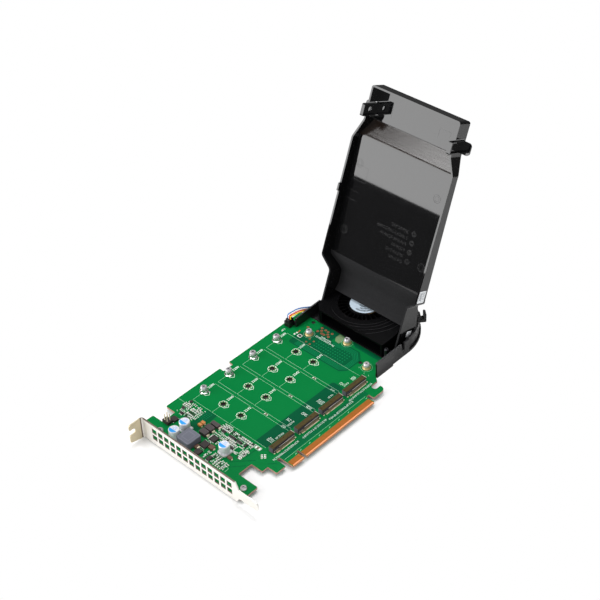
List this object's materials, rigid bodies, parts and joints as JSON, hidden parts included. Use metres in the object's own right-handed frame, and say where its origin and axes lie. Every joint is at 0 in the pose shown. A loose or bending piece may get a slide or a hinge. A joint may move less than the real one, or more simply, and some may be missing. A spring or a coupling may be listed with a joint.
{
  "type": "memory module adapter card",
  "caption": "Slot card carrying long memory modules flat on a green board, with a steel slot bracket and a blower under a hinged black air cover, shown open.",
  "frame": {"origin": "centre of the key notch on the root line of the edge fingers, on the top face of the board", "axes": "+X along the card from the slot bracket to the blower, +Y from the edge fingers to the top edge, +Z out of the component side"},
  "size_m": [0.2727, 0.1242, 0.1737],
  "materials": {
    "board_green": "satin solder mask over glass laminate",
    "contact_gold": "satin gold plate",
    "bracket_steel": "satin nickel plate",
    "screw_steel": "satin zinc plate",
    "socket_plastic": "dull moulded",
    "contact_tin": "satin tin plate",
    "film_amber": "satin film",
    "post_tin": "satin tin plate",
    "choke_grey": "dull pressed powder",
    "base_black": "dull moulded",
    "can_aluminium": "satin",
    "package_black": "dull moulded",
    "tantalum_orange": "dull moulded",
    "passive_grey": "dull",
    "housing_black": "fine moulded",
    "collar_brass": "satin",
    "impeller_black": "fine moulded",
    "label_paper": "smooth",
    "wire_yellow": "satin",
    "wire_red": "satin",
    "wire_white": "satin",
    "wire_blue": "satin",
    "cover_black": "glossy moulded plate"
  },
  "bodies": {
    "card": {"circuit_board": "board_green", "edge_contacts": "contact_gold", "slot_bracket": "bracket_steel", "bracket_screws": "screw_steel", "module_socket_1": "socket_plastic", "module_socket_2": "socket_plastic", "module_socket_3": "socket_plastic", "module_socket_4": "socket_plastic", "socket_contacts": "contact_tin", "pickup_films": "film_amber", "module_posts": "post_tin", "module_screws": "screw_steel", "power_choke": "choke_grey", "capacitor_bases": "base_black", "capacitor_cans": "can_aluminium", "chip_packages": "package_black", "power_blocks": "package_black", "tantalum_capacitors": "tantalum_orange", "small_passives": "passive_grey", "pin_header_base": "base_black", "pin_header_pins": "contact_tin", "blower_base": "housing_black", "base_collars": "collar_brass", "base_screws": "screw_steel", "blower_housing": "housing_black", "blower_lid": "housing_black", "post_screw": "screw_steel", "lead_header": "base_black", "lead_plug": "base_black", "lead_wire_yellow": "wire_yellow", "lead_wire_red": "wire_red", "lead_wire_white": "wire_white", "lead_wire_blue": "wire_blue"},
    "cover": {"shroud_cover": "cover_black", "cover_labels": "label_paper"},
    "rotor": {"impeller": "impeller_black", "rotor_shaft": "screw_steel", "hub_label": "label_paper"}
  },
  "joints": [
    {"name": "cover_hinge", "type": "hinge", "parent": "card", "child": "cover", "pos_m": [0.1249, 0.0527, 0.0036], "axis": [0, 1, 0], "range_deg": [-112.6, 0]},
    {"name": "rotor_spin", "type": "hinge", "parent": "card", "child": "rotor", "pos_m": [0.1425, 0.0624, 0.006], "axis": [0, 0, 1], "continuous": true}
  ]
}
